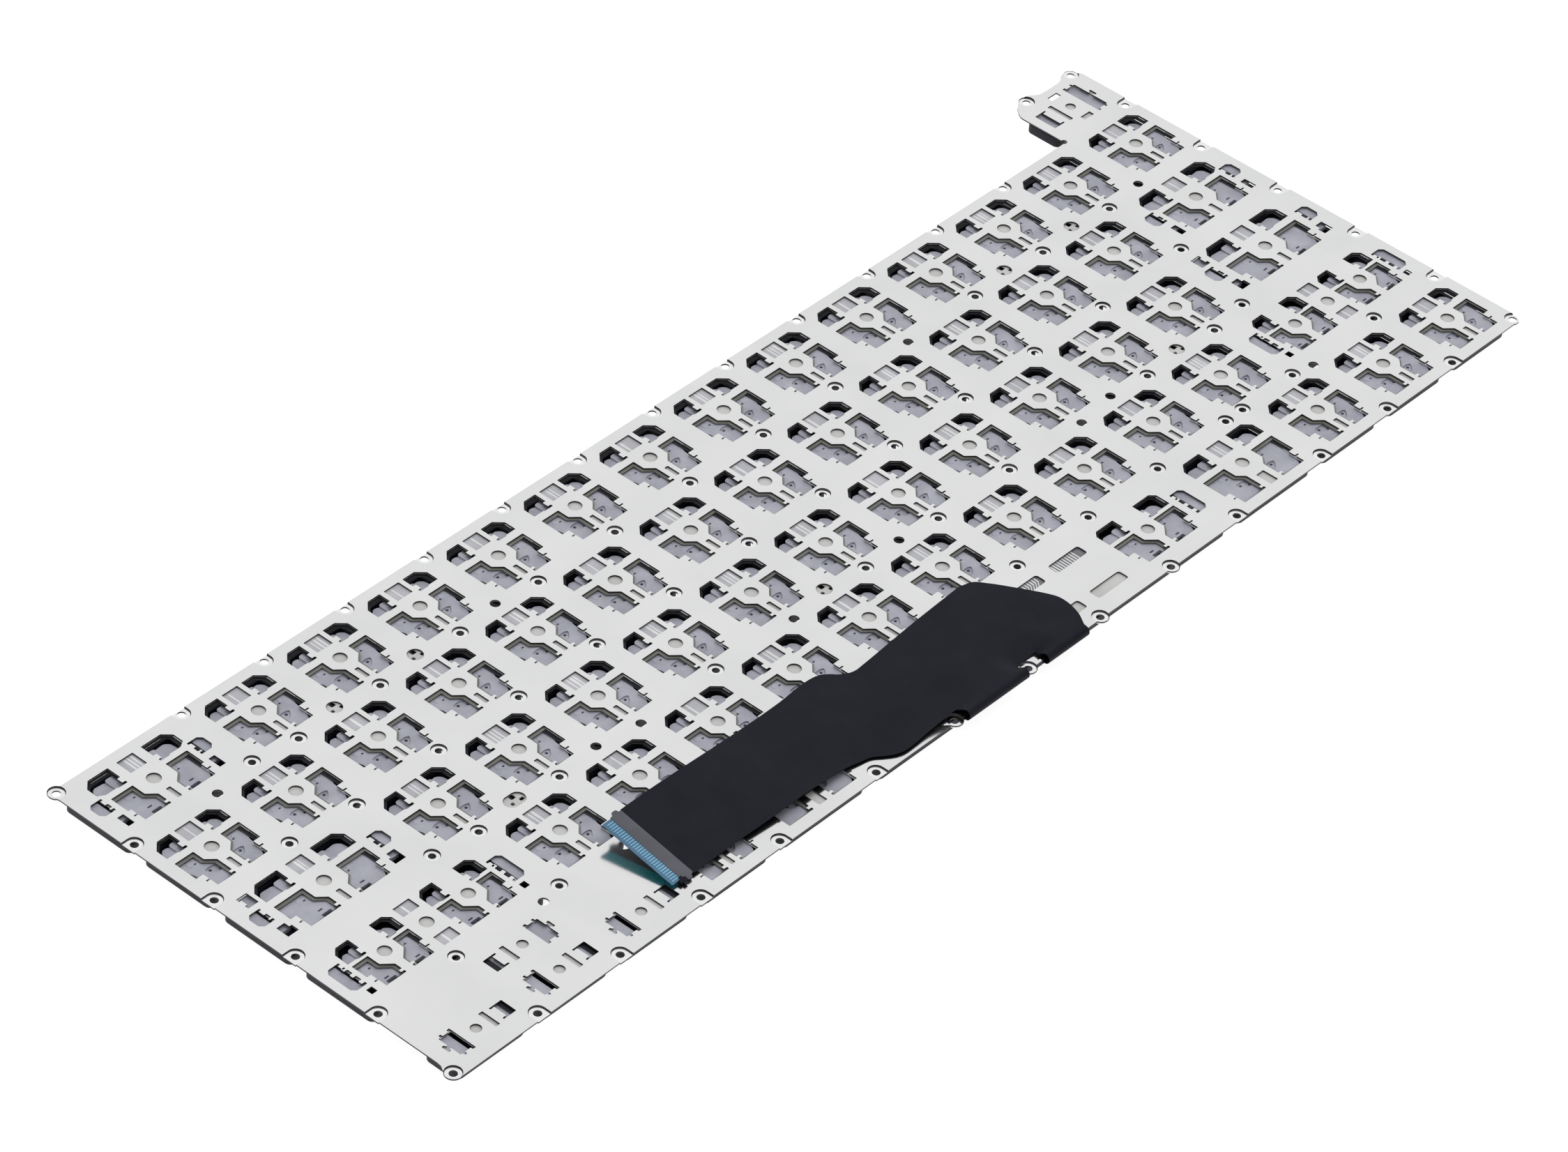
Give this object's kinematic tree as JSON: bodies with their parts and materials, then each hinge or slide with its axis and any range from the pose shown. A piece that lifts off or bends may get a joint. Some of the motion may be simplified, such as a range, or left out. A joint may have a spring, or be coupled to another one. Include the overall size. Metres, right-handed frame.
{
  "type": "laptop replacement keyboard",
  "caption": "Compact scissor-key laptop keyboard lying face down, with a stamped steel back plate, sprung black keycaps and a folded black ribbon tail for its connector.",
  "frame": {"origin": "middle of the part's box, on the plane of the keycaps' top faces, which the part lies on", "axes": "+X along the key rows towards the Escape key, +Y from the space bar towards the number row, +Z out of the plate's back, with the keys facing down"},
  "size_m": [0.276, 0.1072, 0.0076],
  "materials": {
    "steel_plate": "satin zinc-plated sheet",
    "membrane_film": "milky printed film",
    "scissor_plastic": "natural moulded plastic",
    "dome_rubber": "translucent silicone",
    "keycap_plastic": "black satin",
    "ribbon_film": "matt black coated film",
    "stiffener_film": "satin grey film",
    "contact_film": "glossy teal film"
  },
  "bodies": {
    "keyboard_base": {"base_plate": "steel_plate", "membrane": "membrane_film", "scissor_frames": "scissor_plastic", "rubber_domes": "dome_rubber", "ribbon_cable": "ribbon_film", "cable_stiffener": "stiffener_film", "contact_blade": "contact_film", "number_row_keycaps": "keycap_plastic"},
    "delete_key": {"delete_keycap": "keycap_plastic"},
    "tab_key": {"tab_keycap": "keycap_plastic"},
    "upper_letter_01_key": {"upper_letter_01_keycap": "keycap_plastic"},
    "upper_letter_02_key": {"upper_letter_02_keycap": "keycap_plastic"},
    "upper_letter_03_key": {"upper_letter_03_keycap": "keycap_plastic"},
    "upper_letter_04_key": {"upper_letter_04_keycap": "keycap_plastic"},
    "upper_letter_05_key": {"upper_letter_05_keycap": "keycap_plastic"},
    "upper_letter_06_key": {"upper_letter_06_keycap": "keycap_plastic"},
    "upper_letter_07_key": {"upper_letter_07_keycap": "keycap_plastic"},
    "upper_letter_08_key": {"upper_letter_08_keycap": "keycap_plastic"},
    "upper_letter_09_key": {"upper_letter_09_keycap": "keycap_plastic"},
    "upper_letter_10_key": {"upper_letter_10_keycap": "keycap_plastic"},
    "upper_letter_11_key": {"upper_letter_11_keycap": "keycap_plastic"},
    "upper_letter_12_key": {"upper_letter_12_keycap": "keycap_plastic"},
    "backslash_key": {"backslash_keycap": "keycap_plastic"},
    "caps_lock_key": {"caps_lock_keycap": "keycap_plastic"},
    "middle_letter_01_key": {"middle_letter_01_keycap": "keycap_plastic"},
    "middle_letter_02_key": {"middle_letter_02_keycap": "keycap_plastic"},
    "middle_letter_03_key": {"middle_letter_03_keycap": "keycap_plastic"},
    "middle_letter_04_key": {"middle_letter_04_keycap": "keycap_plastic"},
    "middle_letter_05_key": {"middle_letter_05_keycap": "keycap_plastic"},
    "middle_letter_06_key": {"middle_letter_06_keycap": "keycap_plastic"},
    "middle_letter_07_key": {"middle_letter_07_keycap": "keycap_plastic"},
    "middle_letter_08_key": {"middle_letter_08_keycap": "keycap_plastic"},
    "middle_letter_09_key": {"middle_letter_09_keycap": "keycap_plastic"},
    "middle_letter_10_key": {"middle_letter_10_keycap": "keycap_plastic"},
    "middle_letter_11_key": {"middle_letter_11_keycap": "keycap_plastic"},
    "return_key": {"return_keycap": "keycap_plastic"},
    "left_shift_key": {"left_shift_keycap": "keycap_plastic"},
    "lower_letter_01_key": {"lower_letter_01_keycap": "keycap_plastic"},
    "lower_letter_02_key": {"lower_letter_02_keycap": "keycap_plastic"},
    "lower_letter_03_key": {"lower_letter_03_keycap": "keycap_plastic"},
    "lower_letter_04_key": {"lower_letter_04_keycap": "keycap_plastic"},
    "lower_letter_05_key": {"lower_letter_05_keycap": "keycap_plastic"},
    "lower_letter_06_key": {"lower_letter_06_keycap": "keycap_plastic"},
    "lower_letter_07_key": {"lower_letter_07_keycap": "keycap_plastic"},
    "lower_letter_08_key": {"lower_letter_08_keycap": "keycap_plastic"},
    "lower_letter_09_key": {"lower_letter_09_keycap": "keycap_plastic"},
    "lower_letter_10_key": {"lower_letter_10_keycap": "keycap_plastic"},
    "right_shift_key": {"right_shift_keycap": "keycap_plastic"},
    "function_key": {"function_keycap": "keycap_plastic"},
    "control_key": {"control_keycap": "keycap_plastic"},
    "left_option_key": {"left_option_keycap": "keycap_plastic"},
    "left_command_key": {"left_command_keycap": "keycap_plastic"},
    "space_bar_key": {"space_bar_keycap": "keycap_plastic"},
    "right_command_key": {"right_command_keycap": "keycap_plastic"},
    "right_option_key": {"right_option_keycap": "keycap_plastic"},
    "left_arrow_key": {"left_arrow_keycap": "keycap_plastic"},
    "up_arrow_key": {"up_arrow_keycap": "keycap_plastic"},
    "down_arrow_key": {"down_arrow_keycap": "keycap_plastic"},
    "right_arrow_key": {"right_arrow_keycap": "keycap_plastic"},
    "escape_key": {"escape_keycap": "keycap_plastic"}
  },
  "joints": [
    {"name": "delete_press", "type": "slide", "parent": "keyboard_base", "child": "delete_key", "axis": [0, 0, 1], "range_m": [0, 0.0012], "stiffness_N_per_m": 250, "springref_m": -0.0012, "deforming": ["scissor_frames", "rubber_domes"]},
    {"name": "tab_press", "type": "slide", "parent": "keyboard_base", "child": "tab_key", "axis": [0, 0, 1], "range_m": [0, 0.0012], "stiffness_N_per_m": 250, "springref_m": -0.0012, "deforming": ["scissor_frames", "rubber_domes"]},
    {"name": "upper_letter_01_press", "type": "slide", "parent": "keyboard_base", "child": "upper_letter_01_key", "axis": [0, 0, 1], "range_m": [0, 0.0012], "stiffness_N_per_m": 250, "springref_m": -0.0012, "deforming": ["scissor_frames", "rubber_domes"]},
    {"name": "upper_letter_02_press", "type": "slide", "parent": "keyboard_base", "child": "upper_letter_02_key", "axis": [0, 0, 1], "range_m": [0, 0.0012], "stiffness_N_per_m": 250, "springref_m": -0.0012, "deforming": ["scissor_frames", "rubber_domes"]},
    {"name": "upper_letter_03_press", "type": "slide", "parent": "keyboard_base", "child": "upper_letter_03_key", "axis": [0, 0, 1], "range_m": [0, 0.0012], "stiffness_N_per_m": 250, "springref_m": -0.0012, "deforming": ["scissor_frames", "rubber_domes"]},
    {"name": "upper_letter_04_press", "type": "slide", "parent": "keyboard_base", "child": "upper_letter_04_key", "axis": [0, 0, 1], "range_m": [0, 0.0012], "stiffness_N_per_m": 250, "springref_m": -0.0012, "deforming": ["scissor_frames", "rubber_domes"]},
    {"name": "upper_letter_05_press", "type": "slide", "parent": "keyboard_base", "child": "upper_letter_05_key", "axis": [0, 0, 1], "range_m": [0, 0.0012], "stiffness_N_per_m": 250, "springref_m": -0.0012, "deforming": ["scissor_frames", "rubber_domes"]},
    {"name": "upper_letter_06_press", "type": "slide", "parent": "keyboard_base", "child": "upper_letter_06_key", "axis": [0, 0, 1], "range_m": [0, 0.0012], "stiffness_N_per_m": 250, "springref_m": -0.0012, "deforming": ["scissor_frames", "rubber_domes"]},
    {"name": "upper_letter_07_press", "type": "slide", "parent": "keyboard_base", "child": "upper_letter_07_key", "axis": [0, 0, 1], "range_m": [0, 0.0012], "stiffness_N_per_m": 250, "springref_m": -0.0012, "deforming": ["scissor_frames", "rubber_domes"]},
    {"name": "upper_letter_08_press", "type": "slide", "parent": "keyboard_base", "child": "upper_letter_08_key", "axis": [0, 0, 1], "range_m": [0, 0.0012], "stiffness_N_per_m": 250, "springref_m": -0.0012, "deforming": ["scissor_frames", "rubber_domes"]},
    {"name": "upper_letter_09_press", "type": "slide", "parent": "keyboard_base", "child": "upper_letter_09_key", "axis": [0, 0, 1], "range_m": [0, 0.0012], "stiffness_N_per_m": 250, "springref_m": -0.0012, "deforming": ["scissor_frames", "rubber_domes"]},
    {"name": "upper_letter_10_press", "type": "slide", "parent": "keyboard_base", "child": "upper_letter_10_key", "axis": [0, 0, 1], "range_m": [0, 0.0012], "stiffness_N_per_m": 250, "springref_m": -0.0012, "deforming": ["scissor_frames", "rubber_domes"]},
    {"name": "upper_letter_11_press", "type": "slide", "parent": "keyboard_base", "child": "upper_letter_11_key", "axis": [0, 0, 1], "range_m": [0, 0.0012], "stiffness_N_per_m": 250, "springref_m": -0.0012, "deforming": ["scissor_frames", "rubber_domes"]},
    {"name": "upper_letter_12_press", "type": "slide", "parent": "keyboard_base", "child": "upper_letter_12_key", "axis": [0, 0, 1], "range_m": [0, 0.0012], "stiffness_N_per_m": 250, "springref_m": -0.0012, "deforming": ["scissor_frames", "rubber_domes"]},
    {"name": "backslash_press", "type": "slide", "parent": "keyboard_base", "child": "backslash_key", "axis": [0, 0, 1], "range_m": [0, 0.0012], "stiffness_N_per_m": 250, "springref_m": -0.0012, "deforming": ["scissor_frames", "rubber_domes"]},
    {"name": "caps_lock_press", "type": "slide", "parent": "keyboard_base", "child": "caps_lock_key", "axis": [0, 0, 1], "range_m": [0, 0.0012], "stiffness_N_per_m": 250, "springref_m": -0.0012, "deforming": ["scissor_frames", "rubber_domes"]},
    {"name": "middle_letter_01_press", "type": "slide", "parent": "keyboard_base", "child": "middle_letter_01_key", "axis": [0, 0, 1], "range_m": [0, 0.0012], "stiffness_N_per_m": 250, "springref_m": -0.0012, "deforming": ["scissor_frames", "rubber_domes"]},
    {"name": "middle_letter_02_press", "type": "slide", "parent": "keyboard_base", "child": "middle_letter_02_key", "axis": [0, 0, 1], "range_m": [0, 0.0012], "stiffness_N_per_m": 250, "springref_m": -0.0012, "deforming": ["scissor_frames", "rubber_domes"]},
    {"name": "middle_letter_03_press", "type": "slide", "parent": "keyboard_base", "child": "middle_letter_03_key", "axis": [0, 0, 1], "range_m": [0, 0.0012], "stiffness_N_per_m": 250, "springref_m": -0.0012, "deforming": ["scissor_frames", "rubber_domes"]},
    {"name": "middle_letter_04_press", "type": "slide", "parent": "keyboard_base", "child": "middle_letter_04_key", "axis": [0, 0, 1], "range_m": [0, 0.0012], "stiffness_N_per_m": 250, "springref_m": -0.0012, "deforming": ["scissor_frames", "rubber_domes"]},
    {"name": "middle_letter_05_press", "type": "slide", "parent": "keyboard_base", "child": "middle_letter_05_key", "axis": [0, 0, 1], "range_m": [0, 0.0012], "stiffness_N_per_m": 250, "springref_m": -0.0012, "deforming": ["scissor_frames", "rubber_domes"]},
    {"name": "middle_letter_06_press", "type": "slide", "parent": "keyboard_base", "child": "middle_letter_06_key", "axis": [0, 0, 1], "range_m": [0, 0.0012], "stiffness_N_per_m": 250, "springref_m": -0.0012, "deforming": ["scissor_frames", "rubber_domes"]},
    {"name": "middle_letter_07_press", "type": "slide", "parent": "keyboard_base", "child": "middle_letter_07_key", "axis": [0, 0, 1], "range_m": [0, 0.0012], "stiffness_N_per_m": 250, "springref_m": -0.0012, "deforming": ["scissor_frames", "rubber_domes"]},
    {"name": "middle_letter_08_press", "type": "slide", "parent": "keyboard_base", "child": "middle_letter_08_key", "axis": [0, 0, 1], "range_m": [0, 0.0012], "stiffness_N_per_m": 250, "springref_m": -0.0012, "deforming": ["scissor_frames", "rubber_domes"]},
    {"name": "middle_letter_09_press", "type": "slide", "parent": "keyboard_base", "child": "middle_letter_09_key", "axis": [0, 0, 1], "range_m": [0, 0.0012], "stiffness_N_per_m": 250, "springref_m": -0.0012, "deforming": ["scissor_frames", "rubber_domes"]},
    {"name": "middle_letter_10_press", "type": "slide", "parent": "keyboard_base", "child": "middle_letter_10_key", "axis": [0, 0, 1], "range_m": [0, 0.0012], "stiffness_N_per_m": 250, "springref_m": -0.0012, "deforming": ["scissor_frames", "rubber_domes"]},
    {"name": "middle_letter_11_press", "type": "slide", "parent": "keyboard_base", "child": "middle_letter_11_key", "axis": [0, 0, 1], "range_m": [0, 0.0012], "stiffness_N_per_m": 250, "springref_m": -0.0012, "deforming": ["scissor_frames", "rubber_domes"]},
    {"name": "return_press", "type": "slide", "parent": "keyboard_base", "child": "return_key", "axis": [0, 0, 1], "range_m": [0, 0.0012], "stiffness_N_per_m": 250, "springref_m": -0.0012, "deforming": ["scissor_frames", "rubber_domes"]},
    {"name": "left_shift_press", "type": "slide", "parent": "keyboard_base", "child": "left_shift_key", "axis": [0, 0, 1], "range_m": [0, 0.0012], "stiffness_N_per_m": 250, "springref_m": -0.0012, "deforming": ["scissor_frames", "rubber_domes"]},
    {"name": "lower_letter_01_press", "type": "slide", "parent": "keyboard_base", "child": "lower_letter_01_key", "axis": [0, 0, 1], "range_m": [0, 0.0012], "stiffness_N_per_m": 250, "springref_m": -0.0012, "deforming": ["scissor_frames", "rubber_domes"]},
    {"name": "lower_letter_02_press", "type": "slide", "parent": "keyboard_base", "child": "lower_letter_02_key", "axis": [0, 0, 1], "range_m": [0, 0.0012], "stiffness_N_per_m": 250, "springref_m": -0.0012, "deforming": ["scissor_frames", "rubber_domes"]},
    {"name": "lower_letter_03_press", "type": "slide", "parent": "keyboard_base", "child": "lower_letter_03_key", "axis": [0, 0, 1], "range_m": [0, 0.0012], "stiffness_N_per_m": 250, "springref_m": -0.0012, "deforming": ["scissor_frames", "rubber_domes"]},
    {"name": "lower_letter_04_press", "type": "slide", "parent": "keyboard_base", "child": "lower_letter_04_key", "axis": [0, 0, 1], "range_m": [0, 0.0012], "stiffness_N_per_m": 250, "springref_m": -0.0012, "deforming": ["scissor_frames", "rubber_domes"]},
    {"name": "lower_letter_05_press", "type": "slide", "parent": "keyboard_base", "child": "lower_letter_05_key", "axis": [0, 0, 1], "range_m": [0, 0.0012], "stiffness_N_per_m": 250, "springref_m": -0.0012, "deforming": ["scissor_frames", "rubber_domes"]},
    {"name": "lower_letter_06_press", "type": "slide", "parent": "keyboard_base", "child": "lower_letter_06_key", "axis": [0, 0, 1], "range_m": [0, 0.0012], "stiffness_N_per_m": 250, "springref_m": -0.0012, "deforming": ["scissor_frames", "rubber_domes"]},
    {"name": "lower_letter_07_press", "type": "slide", "parent": "keyboard_base", "child": "lower_letter_07_key", "axis": [0, 0, 1], "range_m": [0, 0.0012], "stiffness_N_per_m": 250, "springref_m": -0.0012, "deforming": ["scissor_frames", "rubber_domes"]},
    {"name": "lower_letter_08_press", "type": "slide", "parent": "keyboard_base", "child": "lower_letter_08_key", "axis": [0, 0, 1], "range_m": [0, 0.0012], "stiffness_N_per_m": 250, "springref_m": -0.0012, "deforming": ["scissor_frames", "rubber_domes"]},
    {"name": "lower_letter_09_press", "type": "slide", "parent": "keyboard_base", "child": "lower_letter_09_key", "axis": [0, 0, 1], "range_m": [0, 0.0012], "stiffness_N_per_m": 250, "springref_m": -0.0012, "deforming": ["scissor_frames", "rubber_domes"]},
    {"name": "lower_letter_10_press", "type": "slide", "parent": "keyboard_base", "child": "lower_letter_10_key", "axis": [0, 0, 1], "range_m": [0, 0.0012], "stiffness_N_per_m": 250, "springref_m": -0.0012, "deforming": ["scissor_frames", "rubber_domes"]},
    {"name": "right_shift_press", "type": "slide", "parent": "keyboard_base", "child": "right_shift_key", "axis": [0, 0, 1], "range_m": [0, 0.0012], "stiffness_N_per_m": 250, "springref_m": -0.0012, "deforming": ["scissor_frames", "rubber_domes"]},
    {"name": "function_press", "type": "slide", "parent": "keyboard_base", "child": "function_key", "axis": [0, 0, 1], "range_m": [0, 0.0012], "stiffness_N_per_m": 250, "springref_m": -0.0012, "deforming": ["scissor_frames", "rubber_domes"]},
    {"name": "control_press", "type": "slide", "parent": "keyboard_base", "child": "control_key", "axis": [0, 0, 1], "range_m": [0, 0.0012], "stiffness_N_per_m": 250, "springref_m": -0.0012, "deforming": ["scissor_frames", "rubber_domes"]},
    {"name": "left_option_press", "type": "slide", "parent": "keyboard_base", "child": "left_option_key", "axis": [0, 0, 1], "range_m": [0, 0.0012], "stiffness_N_per_m": 250, "springref_m": -0.0012, "deforming": ["scissor_frames", "rubber_domes"]},
    {"name": "left_command_press", "type": "slide", "parent": "keyboard_base", "child": "left_command_key", "axis": [0, 0, 1], "range_m": [0, 0.0012], "stiffness_N_per_m": 250, "springref_m": -0.0012, "deforming": ["scissor_frames", "rubber_domes"]},
    {"name": "space_bar_press", "type": "slide", "parent": "keyboard_base", "child": "space_bar_key", "axis": [0, 0, 1], "range_m": [0, 0.0012], "stiffness_N_per_m": 250, "springref_m": -0.0012, "deforming": ["scissor_frames", "rubber_domes"]},
    {"name": "right_command_press", "type": "slide", "parent": "keyboard_base", "child": "right_command_key", "axis": [0, 0, 1], "range_m": [0, 0.0012], "stiffness_N_per_m": 250, "springref_m": -0.0012, "deforming": ["scissor_frames", "rubber_domes"]},
    {"name": "right_option_press", "type": "slide", "parent": "keyboard_base", "child": "right_option_key", "axis": [0, 0, 1], "range_m": [0, 0.0012], "stiffness_N_per_m": 250, "springref_m": -0.0012, "deforming": ["scissor_frames", "rubber_domes"]},
    {"name": "left_arrow_press", "type": "slide", "parent": "keyboard_base", "child": "left_arrow_key", "axis": [0, 0, 1], "range_m": [0, 0.0012], "stiffness_N_per_m": 250, "springref_m": -0.0012, "deforming": ["scissor_frames", "rubber_domes"]},
    {"name": "up_arrow_press", "type": "slide", "parent": "keyboard_base", "child": "up_arrow_key", "axis": [0, 0, 1], "range_m": [0, 0.0012], "stiffness_N_per_m": 250, "springref_m": -0.0012, "deforming": ["scissor_frames", "rubber_domes"]},
    {"name": "down_arrow_press", "type": "slide", "parent": "keyboard_base", "child": "down_arrow_key", "axis": [0, 0, 1], "range_m": [0, 0.0012], "stiffness_N_per_m": 250, "springref_m": -0.0012, "deforming": ["scissor_frames", "rubber_domes"]},
    {"name": "right_arrow_press", "type": "slide", "parent": "keyboard_base", "child": "right_arrow_key", "axis": [0, 0, 1], "range_m": [0, 0.0012], "stiffness_N_per_m": 250, "springref_m": -0.0012, "deforming": ["scissor_frames", "rubber_domes"]},
    {"name": "escape_press", "type": "slide", "parent": "keyboard_base", "child": "escape_key", "axis": [0, 0, 1], "range_m": [0, 0.0012], "stiffness_N_per_m": 250, "springref_m": -0.0012, "deforming": ["scissor_frames", "rubber_domes"]}
  ]
}
